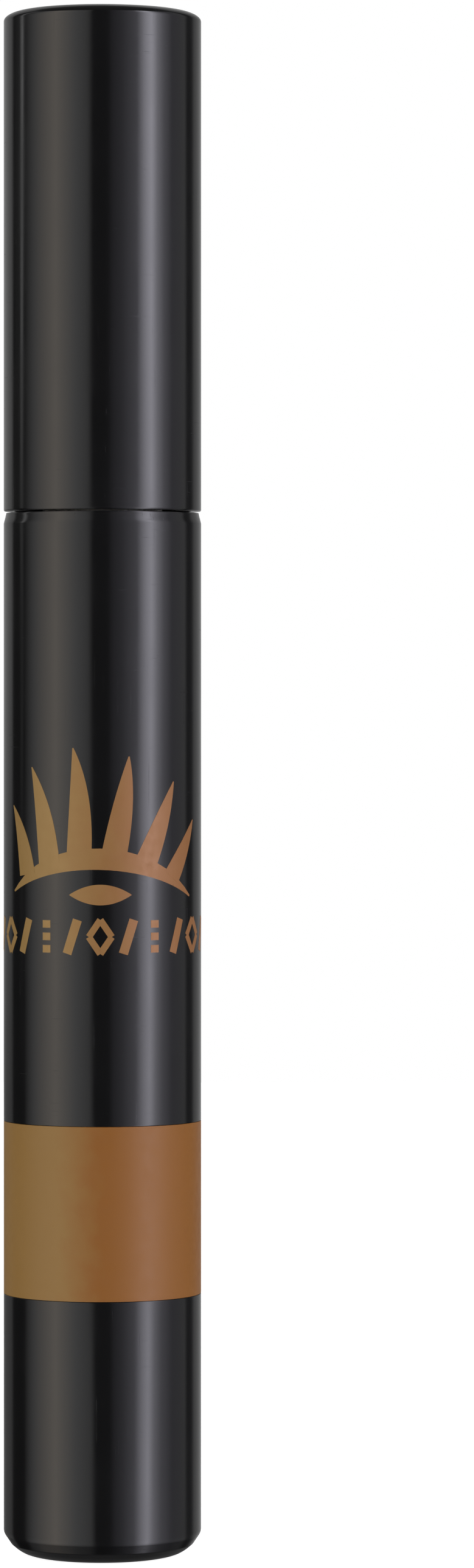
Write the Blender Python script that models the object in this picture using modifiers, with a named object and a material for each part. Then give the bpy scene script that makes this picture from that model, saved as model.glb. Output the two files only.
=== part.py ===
"""Mascara tube with a screw-on cap that carries a rod and a twisted-wire brush.

The tube stands on its base with the cap screwed down and the brush inside the vial.
Lengths in the constants are millimetres; +Z is up along the tube's axis and the front is -Y.
"""

import math

import bmesh
import bpy
from mathutils import Matrix

MM = 0.001

# Outside of the closed tube
OUTER_R = 8.25
HEIGHT = 128.80
SEAM_GAP = 0.08
CASE_TOP_Z = 86.99
CAP_RIM_Z = CASE_TOP_Z + SEAM_GAP
CROWN_ROUND_R = 1.90
CROWN_ROUND_H = 0.80
# Foot of the case, as (inset from the wall, height above the base): a long chamfer, then a short round
FOOT = ((0.0, 2.05), (0.12, 1.68), (0.64, 0.88), (1.06, 0.52), (1.60, 0.20), (2.10, 0.05), (2.50, 0.0))
SHOULDER_INSET = 0.20
SHOULDER_DROP = 0.90

# Outer case
WALL = 0.90
BORE_R = OUTER_R - WALL
BASE_THICK = 1.50
CASE_FLOOR_CHAMFER = 0.80
BAND_LOW_Z = 21.80
BAND_HIGH_Z = 36.20
BAND_THICK = 0.17
BAND_SEAT = 0.03
FIT = 0.08

# Inner bottle, which holds the product and carries the neck
VIAL_R = 6.60
VIAL_WALL = 0.90
VIAL_LOW_Z = 3.00
VIAL_FLOOR = 1.20
VIAL_FILLET = 1.20
VIAL_FLOOR_CHAMFER = 0.80
FUNNEL_LOW_Z = 84.60
FUNNEL_HIGH_Z = 86.20
SHOULDER_R = BORE_R - FIT
SHOULDER_LOW_Z = 85.20
SHOULDER_TOP_Z = 86.60
NECK_R = 5.00
NECK_BORE_R = 4.00
NECK_TOP_Z = 98.20
NECK_CHAMFER = 0.20
GROOVE_R = 4.30
GROOVE_SLOPE = 0.30
GROOVE_LOW_Z = 94.60
GROOVE_HIGH_Z = 95.80

# Screw thread: one start, right-handed
PITCH = 2.00
TURNS = 1.50
NECK_THREAD_R = 5.55
NECK_THREAD_Z = 91.00
THREAD_ROOT_W = 0.72
THREAD_CREST_W = 0.40
THREAD_SINK = 0.30
THREAD_FADE = 0.14
THREAD_END_DIP = 0.10

# Wiper
ORIFICE_R = 2.20
ORIFICE_Z = 88.60
WIPER_WALL = 0.55
WIPER_FLANGE_R = 4.90
WIPER_FLANGE_T = 0.70
WIPER_BEAD_R = 4.20
WIPER_BEAD_H = 0.35
WIPER_LIP_H = 0.50
WIPER_CONE_RISE = 0.70
WIPER_MOUTH_H = 0.60
CONTACT_GAP = 0.05
WIPER_MOUTH_R = 3.65
WIPER_CONE_Z = 93.00

# Product
FILL_TOP_Z = 70.00
FILL_DIP = 0.80
CHANNEL_R = 3.66
CHANNEL_LOW_Z = 11.60
CHANNEL_CHAMFER = 1.40

# Cap
CAP_BORE_R = BORE_R
CROWN_THICK = 1.20
CROWN_UNDER_CHAMFER = 0.50
RIM_CHAMFER = 0.15
RIM_BORE_CHAMFER = 0.10
INNER_CAP_R = 6.35
INNER_CAP_LOW_Z = 87.60
INNER_ROOT_R = 5.76
INNER_CREST_R = 5.16
ROOF_LOW_Z = 100.00
ROOF_HIGH_Z = 101.50
INNER_CAP_CHAMFER = 0.30
SOCKET_R = 3.60
SOCKET_BORE_R = 2.13
SOCKET_HIGH_Z = 112.00
SOCKET_END_GAP = 0.10
RIB_COUNT = 8
RIB_W = 0.80
RIB_R = CAP_BORE_R - FIT
RIB_SINK = 0.30
RIB_END_INSET = 0.80
SEAL_R = 5.10
SEAL_BORE_R = 2.23
SEAL_LOW_Z = 99.00
SEAL_T = 0.90

# Applicator
ROD_R = 2.05
ROD_LOW_Z = 31.25
ROD_HIGH_Z = 110.60
ROD_CHAMFER = 0.30
WIRE_HOLE_R = 0.64
WIRE_HOLE_DEPTH = 9.00
WIRE_STRAND_R = 0.27
WIRE_WAIST = 1.2
BRUSH_LOW_Z = 13.05
BRUSH_HIGH_Z = 31.20
BRUSH_LEAD = 3.80
BRUSH_BORE_R = 0.62
BRUSH_CORE_SHARE = 0.56
BRUSH_CORE_MIN_R = 1.15
BRUSH_RIDGES = 2
BRUSH_RIDGE_SHARE = 0.5
BRUSH_RIDGE_SWING = 0.9
WIRE_END_INSET = 0.10
WIRE_TOP_INSET = 0.20
# Radius of the brush against its length, from the tip to the rod
BRUSH_OUTLINE = ((0.0, 1.45), (0.35, 2.35), (0.79, 3.50), (0.90, 3.10), (1.0, 2.25))

# Facets
ROUND = 48
SMALL_ROUND = 24
THREAD_STEPS = 32
WIRE_STEPS = 10
BRISTLE_STEPS = 14
BRISTLE_ROUND = 20

COLLECTION = "mascara_tube"
CUTTERS = "mascara_tube_cutters"


def clear_scene():
    for thing in list(bpy.data.objects):
        bpy.data.objects.remove(thing, do_unlink=True)
    for name in (COLLECTION, CUTTERS):
        group = bpy.data.collections.new(name)
        bpy.context.scene.collection.children.link(group)


def material(name, colour, roughness, metallic=0.0):
    made = bpy.data.materials.new(name)
    made.use_nodes = True
    shader = made.node_tree.nodes["Principled BSDF"]
    shader.inputs["Base Color"].default_value = (*colour, 1.0)
    shader.inputs["Roughness"].default_value = roughness
    shader.inputs["Metallic"].default_value = metallic
    made.diffuse_color = (*colour, 1.0)
    return made


def add_object(name, mesh, collection=COLLECTION):
    made = bpy.data.objects.new(name, mesh)
    bpy.data.collections[collection].objects.link(made)
    if collection == CUTTERS:
        made.hide_render = True
        made.display_type = "WIRE"
    return made


def fillet(centre_r, centre_z, radius, start_deg, end_deg, steps=3):
    """Points of a quarter round, with angles counted from +X towards +Z."""
    points = []
    for i in range(steps + 1):
        angle = math.radians(start_deg + (end_deg - start_deg) * i / steps)
        points.append((centre_r + radius * math.cos(angle), centre_z + radius * math.sin(angle)))
    return points


def revolve(name, outline, look, segments=ROUND, closed=True):
    """A solid of revolution. The outline runs down its outer side."""
    mesh = bpy.data.meshes.new(name)
    points = [(r * MM, 0.0, z * MM) for r, z in outline]
    edges = [(i, i + 1) for i in range(len(points) - 1)]
    if closed:
        edges.append((len(points) - 1, 0))
    mesh.from_pydata(points, edges, [])
    made = add_object(name, mesh)
    screw = made.modifiers.new("Revolve", "SCREW")
    screw.axis = "Z"
    screw.angle = math.tau
    screw.steps = segments
    screw.render_steps = segments
    screw.use_merge_vertices = True
    screw.merge_threshold = 0.00001
    screw.use_smooth_shade = True
    made.data.materials.append(look)
    return made


def skin_rings(name, rings, collection, smooth=False):
    """A closed solid through a stack of rings with the same number of points."""
    mesh = bpy.data.meshes.new(name)
    shape = bmesh.new()
    loops = [[shape.verts.new([c * MM for c in point]) for point in ring] for ring in rings]
    count = len(loops[0])
    for low, high in zip(loops, loops[1:]):
        for i in range(count):
            j = (i + 1) % count
            shape.faces.new((low[i], low[j], high[j], high[i]))
    shape.faces.new(list(reversed(loops[0])))
    shape.faces.new(loops[-1])
    bmesh.ops.recalc_face_normals(shape, faces=shape.faces)
    for face in shape.faces:
        face.smooth = smooth
    shape.to_mesh(mesh)
    shape.free()
    return add_object(name, mesh, collection)


def thread_ridge(name, root_r, crest_r, low_z):
    """The ridge of a screw thread, which rises out of its wall at one end and sinks at the other."""
    outward = 1.0 if crest_r > root_r else -1.0
    steps = round(TURNS * THREAD_STEPS)
    rings = []
    for i in range(steps + 1):
        share = i / steps
        rise = min(1.0, share / THREAD_FADE, (1.0 - share) / THREAD_FADE)
        tip_r = root_r + (crest_r - root_r) * rise - outward * THREAD_END_DIP * (1.0 - rise)
        back_r = root_r - outward * THREAD_SINK
        angle = math.tau * TURNS * share
        z = low_z + PITCH * TURNS * share
        section = (
            (back_r, z - THREAD_ROOT_W / 2),
            (tip_r, z - THREAD_CREST_W / 2),
            (tip_r, z + THREAD_CREST_W / 2),
            (back_r, z + THREAD_ROOT_W / 2),
        )
        rings.append([(r * math.cos(angle), r * math.sin(angle), height) for r, height in section])
    return skin_rings(name, rings, CUTTERS)


def cap_ribs(name):
    """Upright ribs around the inner cap, which centre it in the shell."""
    mesh = bpy.data.meshes.new(name)
    shape = bmesh.new()
    low_r = INNER_CAP_R - RIB_SINK
    low_z = INNER_CAP_LOW_Z + RIB_END_INSET
    size = (RIB_R - low_r, RIB_W, ROOF_HIGH_Z - RIB_END_INSET - low_z)
    place = ((low_r + size[0] / 2) * MM, 0.0, (low_z + size[2] / 2) * MM)
    for i in range(RIB_COUNT):
        verts = bmesh.ops.create_cube(shape, size=MM)["verts"]
        bmesh.ops.scale(shape, vec=size, verts=verts)
        bmesh.ops.translate(shape, vec=place, verts=verts)
        turn = Matrix.Rotation(math.tau * (i + 0.5) / RIB_COUNT, 3, "Z")
        bmesh.ops.rotate(shape, cent=(0.0, 0.0, 0.0), matrix=turn, verts=verts)
    shape.to_mesh(mesh)
    shape.free()
    return add_object(name, mesh, CUTTERS)


def join_to(target, operand):
    union = target.modifiers.new(operand.name, "BOOLEAN")
    union.operation = "UNION"
    union.solver = "EXACT"
    union.object = operand


def outer_case(look):
    seat_r = OUTER_R - BAND_THICK - BAND_SEAT
    outline = [(BORE_R, CASE_TOP_Z)]
    outline += [(OUTER_R - SHOULDER_INSET, CASE_TOP_Z)]
    outline += [(OUTER_R - SHOULDER_INSET / 4, CASE_TOP_Z - SHOULDER_DROP / 2)]
    outline += [(OUTER_R, CASE_TOP_Z - SHOULDER_DROP)]
    outline += [(OUTER_R, BAND_HIGH_Z + BAND_SEAT), (seat_r, BAND_HIGH_Z + BAND_SEAT)]
    outline += [(seat_r, BAND_LOW_Z - BAND_SEAT), (OUTER_R, BAND_LOW_Z - BAND_SEAT)]
    outline += [(OUTER_R - inset, z) for inset, z in FOOT]
    outline += [(0.0, 0.0), (0.0, BASE_THICK)]
    outline += [(BORE_R - CASE_FLOOR_CHAMFER, BASE_THICK), (BORE_R, BASE_THICK + CASE_FLOOR_CHAMFER)]
    return revolve("outer_case", outline, look)


def colour_band(look):
    inner_r = OUTER_R - BAND_THICK
    outline = [(OUTER_R, BAND_HIGH_Z), (OUTER_R, BAND_LOW_Z)]
    outline += [(inner_r, BAND_LOW_Z), (inner_r, BAND_HIGH_Z)]
    return revolve("colour_band", outline, look)


def inner_bottle(look):
    vial_bore_r = VIAL_R - VIAL_WALL
    floor_z = VIAL_LOW_Z + VIAL_FLOOR
    outline = [(NECK_BORE_R, NECK_TOP_Z), (NECK_R - NECK_CHAMFER, NECK_TOP_Z)]
    outline += [(NECK_R, NECK_TOP_Z - NECK_CHAMFER)]
    outline += [(NECK_R, SHOULDER_TOP_Z), (SHOULDER_R, SHOULDER_TOP_Z)]
    outline += [(SHOULDER_R, SHOULDER_LOW_Z), (VIAL_R, SHOULDER_LOW_Z)]
    outline += fillet(VIAL_R - VIAL_FILLET, VIAL_LOW_Z + VIAL_FILLET, VIAL_FILLET, 0, -90)
    outline += [(0.0, VIAL_LOW_Z), (0.0, floor_z)]
    outline += [(vial_bore_r - VIAL_FLOOR_CHAMFER, floor_z), (vial_bore_r, floor_z + VIAL_FLOOR_CHAMFER)]
    outline += [(vial_bore_r, FUNNEL_LOW_Z), (NECK_BORE_R, FUNNEL_HIGH_Z)]
    outline += [(NECK_BORE_R, GROOVE_LOW_Z), (GROOVE_R, GROOVE_LOW_Z + GROOVE_SLOPE)]
    outline += [(GROOVE_R, GROOVE_HIGH_Z - GROOVE_SLOPE), (NECK_BORE_R, GROOVE_HIGH_Z)]
    bottle = revolve("inner_bottle", outline, look)
    join_to(bottle, thread_ridge("neck_thread", NECK_R, NECK_THREAD_R, NECK_THREAD_Z))
    return bottle


def wiper(look):
    """A soft plug in the neck that scrapes the rod and the brush on their way out."""
    plug_r = NECK_BORE_R - FIT
    flange_low_z = NECK_TOP_Z + CONTACT_GAP
    flange_high_z = flange_low_z + WIPER_FLANGE_T
    bead_z = (GROOVE_LOW_Z + GROOVE_HIGH_Z) / 2
    outline = [(WIPER_MOUTH_R, flange_high_z), (WIPER_FLANGE_R, flange_high_z)]
    outline += [(WIPER_FLANGE_R, flange_low_z), (plug_r, flange_low_z)]
    outline += [(plug_r, bead_z + WIPER_BEAD_H), (WIPER_BEAD_R, bead_z), (plug_r, bead_z - WIPER_BEAD_H)]
    outline += [(plug_r, WIPER_CONE_Z), (ORIFICE_R + WIPER_WALL, ORIFICE_Z), (ORIFICE_R, ORIFICE_Z)]
    outline += [(ORIFICE_R, ORIFICE_Z + WIPER_LIP_H), (plug_r - WIPER_WALL, WIPER_CONE_Z + WIPER_CONE_RISE)]
    outline += [(plug_r - WIPER_WALL, flange_low_z - WIPER_MOUTH_H)]
    return revolve("wiper", outline, look, SMALL_ROUND)


def mascara_fill(look):
    """The paste in the vial, with the channel that the brush leaves in it."""
    skin_r = VIAL_R - VIAL_WALL - FIT
    low_z = VIAL_LOW_Z + VIAL_FLOOR + CONTACT_GAP
    corner = VIAL_FLOOR_CHAMFER + CONTACT_GAP
    outline = [(CHANNEL_R, FILL_TOP_Z - FILL_DIP), (skin_r, FILL_TOP_Z)]
    outline += [(skin_r, low_z + corner), (skin_r - corner, low_z), (0.0, low_z)]
    outline += [(0.0, CHANNEL_LOW_Z), (CHANNEL_R - CHANNEL_CHAMFER, CHANNEL_LOW_Z)]
    outline += [(CHANNEL_R, CHANNEL_LOW_Z + CHANNEL_CHAMFER)]
    return revolve("mascara_fill", outline, look, SMALL_ROUND * 2)


def crown_round(steps=5):
    """The rounding between the crown's flat top and the cap's wall, wider than it is tall."""
    points = []
    for i in range(steps + 1):
        angle = math.radians(90.0 - 90.0 * i / steps)
        r = OUTER_R - CROWN_ROUND_R * (1.0 - math.cos(angle))
        points.append((r, HEIGHT - CROWN_ROUND_H * (1.0 - math.sin(angle))))
    return points


def cap_shell(look):
    under_z = HEIGHT - CROWN_THICK
    outline = [(0.0, HEIGHT)]
    outline += crown_round()
    outline += [(OUTER_R, CAP_RIM_Z + RIM_CHAMFER), (OUTER_R - RIM_CHAMFER, CAP_RIM_Z)]
    outline += [(CAP_BORE_R + RIM_BORE_CHAMFER, CAP_RIM_Z), (CAP_BORE_R, CAP_RIM_Z + RIM_BORE_CHAMFER)]
    outline += [(CAP_BORE_R, under_z - CROWN_UNDER_CHAMFER), (CAP_BORE_R - CROWN_UNDER_CHAMFER, under_z)]
    outline += [(0.0, under_z)]
    return revolve("cap_shell", outline, look, closed=False)


def inner_cap(look):
    """The threaded insert of the cap, with the socket that holds the rod."""
    socket_end_z = ROD_HIGH_Z + SOCKET_END_GAP
    outline = [(0.0, SOCKET_HIGH_Z), (SOCKET_R - INNER_CAP_CHAMFER, SOCKET_HIGH_Z)]
    outline += [(SOCKET_R, SOCKET_HIGH_Z - INNER_CAP_CHAMFER), (SOCKET_R, ROOF_HIGH_Z)]
    outline += [(INNER_CAP_R - INNER_CAP_CHAMFER, ROOF_HIGH_Z)]
    outline += [(INNER_CAP_R, ROOF_HIGH_Z - INNER_CAP_CHAMFER)]
    outline += [(INNER_CAP_R, INNER_CAP_LOW_Z), (INNER_ROOT_R, INNER_CAP_LOW_Z)]
    outline += [(INNER_ROOT_R, ROOF_LOW_Z), (SOCKET_BORE_R, ROOF_LOW_Z)]
    outline += [(SOCKET_BORE_R, socket_end_z), (0.0, socket_end_z)]
    cap = revolve("inner_cap", outline, look, closed=False)
    low_z = NECK_THREAD_Z - PITCH / 2
    join_to(cap, thread_ridge("cap_thread", INNER_ROOT_R, INNER_CREST_R, low_z))
    join_to(cap, cap_ribs("cap_ribs"))
    return cap


def seal_ring(look):
    outline = [(SEAL_R, SEAL_LOW_Z + SEAL_T), (SEAL_R, SEAL_LOW_Z)]
    outline += [(SEAL_BORE_R, SEAL_LOW_Z), (SEAL_BORE_R, SEAL_LOW_Z + SEAL_T)]
    return revolve("seal_ring", outline, look, SMALL_ROUND)


def rod(look):
    hole_top_z = ROD_LOW_Z + WIRE_HOLE_DEPTH
    outline = [(0.0, ROD_HIGH_Z), (ROD_R - ROD_CHAMFER, ROD_HIGH_Z)]
    outline += [(ROD_R, ROD_HIGH_Z - ROD_CHAMFER), (ROD_R, ROD_LOW_Z + ROD_CHAMFER)]
    outline += [(ROD_R - ROD_CHAMFER, ROD_LOW_Z), (WIRE_HOLE_R, ROD_LOW_Z)]
    outline += [(WIRE_HOLE_R, hole_top_z), (0.0, hole_top_z)]
    return revolve("rod", outline, look, SMALL_ROUND, closed=False)


def brush_wire(look):
    """Two strands of wire twisted together, left-handed like the rows of bristles."""
    low_z = BRUSH_LOW_Z + WIRE_END_INSET
    high_z = ROD_LOW_Z + WIRE_HOLE_DEPTH - WIRE_TOP_INSET
    turns = (high_z - low_z) / BRUSH_LEAD
    steps = round(turns * WIRE_STEPS)
    rings = []
    for i in range(steps + 1):
        z = low_z + (high_z - low_z) * i / steps
        turn = -math.tau * turns * i / steps
        ring = []
        for side in (0.0, math.pi):
            for lean in (-90.0, -30.0, 30.0, 90.0):
                angle = side + turn + math.radians(lean) * WIRE_WAIST
                x = WIRE_STRAND_R * (math.cos(side + turn) + math.cos(angle))
                y = WIRE_STRAND_R * (math.sin(side + turn) + math.sin(angle))
                ring.append((x, y, z))
        rings.append(ring)
    wire = skin_rings("brush_wire", rings, COLLECTION)
    wire.data.materials.append(look)
    return wire


def brush_radius(share):
    for (low, low_r), (high, high_r) in zip(BRUSH_OUTLINE, BRUSH_OUTLINE[1:]):
        if share <= high:
            return low_r + (high_r - low_r) * (share - low) / (high - low)
    return BRUSH_OUTLINE[-1][1]


def bristles(look):
    """The packed bristles: two left-handed helical ridges around a bore for the wire."""
    length = BRUSH_HIGH_Z - BRUSH_LOW_Z
    turns = length / BRUSH_LEAD
    steps = round(turns * BRISTLE_STEPS)
    rings = []
    for i in range(steps + 1):
        share = i / steps
        outer_r = brush_radius(share)
        core_r = max(outer_r * BRUSH_CORE_SHARE, BRUSH_CORE_MIN_R)
        ring = []
        for k in range(BRISTLE_ROUND):
            angle = math.tau * k / BRISTLE_ROUND
            phase = BRUSH_RIDGES * (angle + math.tau * turns * share)
            swing = BRUSH_RIDGE_SHARE + BRUSH_RIDGE_SWING * math.cos(phase)
            ridge = min(1.0, max(0.0, swing))
            r = core_r + (outer_r - core_r) * ridge
            ring.append((r * math.cos(angle), r * math.sin(angle), BRUSH_LOW_Z + length * share))
        rings.append(ring)
    tuft = skin_rings("bristles", rings, COLLECTION, smooth=True)
    bore_with_wire_hole(tuft)
    tuft.data.materials.append(look)
    return tuft


def bore_with_wire_hole(tuft):
    mesh = bpy.data.meshes.new("wire_bore")
    shape = bmesh.new()
    bmesh.ops.create_cone(
        shape,
        cap_ends=True,
        segments=12,
        radius1=BRUSH_BORE_R * MM,
        radius2=BRUSH_BORE_R * MM,
        depth=(BRUSH_HIGH_Z - BRUSH_LOW_Z) * 2 * MM,
    )
    middle = (0.0, 0.0, (BRUSH_HIGH_Z + BRUSH_LOW_Z) / 2 * MM)
    bmesh.ops.translate(shape, vec=middle, verts=shape.verts)
    shape.to_mesh(mesh)
    shape.free()
    cutter = add_object("wire_bore", mesh, CUTTERS)
    hole = tuft.modifiers.new("Wire bore", "BOOLEAN")
    hole.operation = "DIFFERENCE"
    hole.solver = "EXACT"
    hole.object = cutter


def build():
    clear_scene()
    gloss_black = material("gloss_black_plastic", (0.012, 0.012, 0.013), 0.12)
    satin_black = material("satin_black_plastic", (0.016, 0.016, 0.017), 0.30)
    band_brown = material("brown_band", (0.235, 0.107, 0.038), 0.28, 0.15)
    milky = material("milky_plastic", (0.62, 0.60, 0.56), 0.40)
    soft = material("soft_wiper_plastic", (0.55, 0.54, 0.52), 0.55)
    paste = material("brown_paste", (0.36, 0.14, 0.085), 0.38)
    rubber = material("grey_seal_rubber", (0.10, 0.10, 0.10), 0.70)
    steel = material("steel_wire", (0.55, 0.55, 0.56), 0.25, 1.0)
    tuft = material("coated_bristles", (0.34, 0.13, 0.08), 0.45)
    outer_case(gloss_black)
    colour_band(band_brown)
    inner_bottle(milky)
    wiper(soft)
    mascara_fill(paste)
    cap_shell(gloss_black)
    inner_cap(satin_black)
    seal_ring(rubber)
    rod(satin_black)
    brush_wire(steel)
    bristles(tuft)


build()
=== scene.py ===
"""Looks of the mascara tube: fine meshes, materials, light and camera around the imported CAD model.

Lengths in the constants are millimetres, in the model's own frame: +Z up the tube, front -Y.
"""

import math
import random

import bmesh
import bpy
from mathutils import Matrix, Vector, noise


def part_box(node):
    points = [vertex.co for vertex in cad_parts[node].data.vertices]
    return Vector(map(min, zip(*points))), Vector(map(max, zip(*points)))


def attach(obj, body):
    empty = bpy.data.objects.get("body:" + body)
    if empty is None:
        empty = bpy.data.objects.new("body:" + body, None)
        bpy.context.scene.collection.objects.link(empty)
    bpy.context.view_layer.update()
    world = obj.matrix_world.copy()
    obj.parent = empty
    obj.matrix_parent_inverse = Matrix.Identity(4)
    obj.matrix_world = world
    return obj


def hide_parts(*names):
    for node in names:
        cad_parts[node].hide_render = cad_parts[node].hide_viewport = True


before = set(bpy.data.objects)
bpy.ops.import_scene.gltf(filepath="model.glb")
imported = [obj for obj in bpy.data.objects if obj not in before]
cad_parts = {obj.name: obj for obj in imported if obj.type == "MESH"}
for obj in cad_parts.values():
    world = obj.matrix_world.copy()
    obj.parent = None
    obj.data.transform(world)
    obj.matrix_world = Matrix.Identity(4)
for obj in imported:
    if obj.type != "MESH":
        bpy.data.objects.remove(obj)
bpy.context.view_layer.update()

MM = 0.001


def span(node):
    """Low and high corner of a CAD solid, in millimetres."""
    low_corner, high_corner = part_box(node)
    return low_corner / MM, high_corner / MM


# Sizes read from the CAD solids
_, CASE_HIGH = span("outer_case")
CAP_LOW, CAP_HIGH = span("cap_shell")
BAND_LOW, BAND_HIGH = span("colour_band")
BOTTLE_LOW, BOTTLE_HIGH = span("inner_bottle")
WIPER_LOW, WIPER_HIGH = span("wiper")
FILL_LOW, FILL_HIGH = span("mascara_fill")
INSERT_LOW, INSERT_HIGH = span("inner_cap")
SEAL_LOW, SEAL_HIGH = span("seal_ring")
ROD_LOW, ROD_HIGH = span("rod")
WIRE_LOW, WIRE_HIGH = span("brush_wire")
BRUSH_LOW, BRUSH_HIGH = span("bristles")
OUTER_R = CASE_HIGH.x
CASE_TOP = CASE_HIGH.z
CAP_RIM = CAP_LOW.z
CAP_TOP = CAP_HIGH.z
ROD_R = ROD_HIGH.x

# Case and cap
WALL = 0.90
BORE_R = OUTER_R - WALL
BASE_THICK = 1.50
FLOOR_CHAMFER = 0.80
# Outline of the rounded foot as (inset from the wall, height)
FOOT = ((0.0, 2.05), (0.03, 1.86), (0.12, 1.66), (0.62, 0.92), (0.70, 0.84), (1.06, 0.54))
FOOT += ((1.34, 0.35), (1.62, 0.20), (1.90, 0.10), (2.15, 0.04), (2.50, 0.0))
RIM_DROP = 0.06
# Outline of the case's shoulder as (inset from the wall, drop below its rim)
SHOULDER = ((0.22, 0.0), (0.195, 0.03), (0.185, 0.12), (0.15, 0.28), (0.09, 0.52), (0.03, 0.74))
SHOULDER += ((0.0, 0.89),)
CROWN_ROUND_R = 1.90
CROWN_ROUND_H = 0.80
CROWN_THICK = 1.20
CROWN_CORNER = 0.50
RIM_ROUND = 0.12
BAND_THICK = 0.17
BAND_SEAT = 0.03
BAND_EDGE = 0.03

# Bottle neck, insert and their thread
VIAL_R = 6.60
VIAL_WALL = 0.90
VIAL_FLOOR = 1.20
VIAL_FOOT_ROUND = 1.20
VIAL_CORNER = 0.80
SHOULDER_LOW = 85.20
SHOULDER_HIGH = 86.60
FUNNEL_LOW = 84.60
FUNNEL_HIGH = 86.20
NECK_R = 5.00
NECK_BORE_R = 4.00
NECK_LIP = 0.20
NECK_LIP_BEVEL = 0.10
NECK_FILLET = 0.25
BOTTLE_EDGE = 0.15
SNAP_R = 4.30
SNAP_LOW = 94.60
SNAP_HIGH = 95.80
SNAP_SLOPE = 0.30
PITCH = 2.00
TURNS = 1.50
NECK_CREST_R = 5.55
NECK_THREAD_LOW = 91.00
INSERT_ROOT_R = 5.76
INSERT_CREST_R = 5.16
INSERT_R = 6.35
INSERT_ROOF_LOW = 100.00
INSERT_ROOF_HIGH = 101.50
INSERT_ROUND = 0.30
INSERT_RIM_ROUND = 0.15
INSERT_MOUTH_BEVEL = 0.12
SOCKET_R = 3.60
SOCKET_BORE_R = 2.13
SOCKET_END_GAP = 0.10
RIB_COUNT = 8
RIB_W = 0.80
RIB_TIP_SHARE = 0.80
RIB_END_INSET = 0.80
RIB_RAMP = 0.25
RIB_SINK = 0.30
RIB_FIT = 0.08
SEAL_ROUND = 0.12
SEAL_CLEAR = 0.10

# Wiper and product
ORIFICE_R = 2.20
WIPER_WALL = 0.55
WIPER_FLANGE_T = 0.70
WIPER_FLANGE_ROUND = 0.20
WIPER_CONE = 93.00
WIPER_LIP_RISE = 0.12
PLUG_R = 3.92
BEAD_HALF = 0.35
BEAD_ROUND = 0.28
BEAD_SINK = 0.02
# Bore of the wiper as (step in radius, rise): from its wall at the top, from its wall at
# the cone, and from the orifice at the lower end
MOUTH_STEPS = ((0.28, 0.0), (0.06, -0.7), (0.0, -1.3))
CONE_STEPS = ((0.0, 0.9), (-0.06, 0.45))
LIP_STEPS = ((0.03, 0.62), (0.0, 0.40), (0.0, 0.1), (0.08, 0.0))
CHANNEL_R = 3.66
CHANNEL_LOW = 11.60
CHANNEL_ROUND = 1.40
FILL_CORNER = 0.85
PASTE_SINK = 0.03
PASTE_BACK = 0.10

# Applicator
STRAND_R = 0.27
BRUSH_LEAD = 3.80
WIRE_HOLE_R = 0.64
WIRE_HOLE_DEPTH = 9.00
ROD_ROUND = 0.30
SMEAR_LENGTH = 5.0

# Facets
FINE_ROUND = 256
ROUND = 128
THREAD_STEPS = 96
PASTE_COLUMNS = 120
FILL_COLUMNS = 96
STRAND_STEPS = 28
STRAND_SIDES = 10
SUPPORT_GAP = 0.04

random.seed(11)


# ---------------------------------------------------------------- meshes


def arc(centre_r, centre_z, radius, start_deg, end_deg, steps=6):
    """Points of a rounding in a lathe outline, with angles counted from +X towards +Z."""
    points = []
    for i in range(steps + 1):
        angle = math.radians(start_deg + (end_deg - start_deg) * i / steps)
        points.append((centre_r + radius * math.cos(angle), centre_z + radius * math.sin(angle)))
    return points


def add_piece(name, mesh, look, body, nodes=()):
    """Places a mesh as a piece that rides a body and stands for the named CAD nodes."""
    piece = bpy.data.objects.new(name, mesh)
    bpy.context.scene.collection.objects.link(piece)
    piece.data.materials.append(look)
    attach(piece, body)
    if nodes:
        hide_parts(*nodes)


def finish_mesh(shape, name, sharp_deg=35):
    """Turns a bmesh into a smooth-shaded mesh with its hard edges kept."""
    bmesh.ops.recalc_face_normals(shape, faces=shape.faces)
    for face in shape.faces:
        face.smooth = True
    mesh = bpy.data.meshes.new(name)
    shape.to_mesh(mesh)
    shape.free()
    mesh.set_sharp_from_angle(angle=math.radians(sharp_deg))
    return mesh


def supported(outline, closed):
    """The outline with a point close to each end of its long straights, so that they shade straight."""
    ring = outline + outline[:1] if closed else outline
    made = [ring[0]]
    for (r0, z0), (r1, z1) in zip(ring, ring[1:]):
        length = math.hypot(r1 - r0, z1 - z0)
        if length > 10 * SUPPORT_GAP:
            for share in (SUPPORT_GAP / length, 1.0 - SUPPORT_GAP / length):
                made.append((r0 + (r1 - r0) * share, z0 + (z1 - z0) * share))
        made.append((r1, z1))
    return made[:-1] if closed else made


def lathe_into(shape, outline, closed=True, segments=ROUND):
    """Adds a solid of revolution about the Z axis from an outline of (radius, height) points."""
    outline = supported(outline, closed)
    verts = [shape.verts.new((r * MM, 0.0, z * MM)) for r, z in outline]
    pairs = list(zip(verts, verts[1:]))
    if closed:
        pairs.append((verts[-1], verts[0]))
    edges = [shape.edges.new(pair) for pair in pairs]
    bmesh.ops.spin(
        shape,
        geom=verts + edges,
        cent=(0.0, 0.0, 0.0),
        axis=(0.0, 0.0, 1.0),
        angle=math.tau,
        steps=segments,
        use_duplicate=False,
    )
    bmesh.ops.remove_doubles(shape, verts=shape.verts, dist=0.002 * MM)


def lathe(name, outline, closed=True, segments=ROUND):
    """A finished mesh of one solid of revolution."""
    shape = bmesh.new()
    lathe_into(shape, outline, closed, segments)
    return finish_mesh(shape, name)


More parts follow.
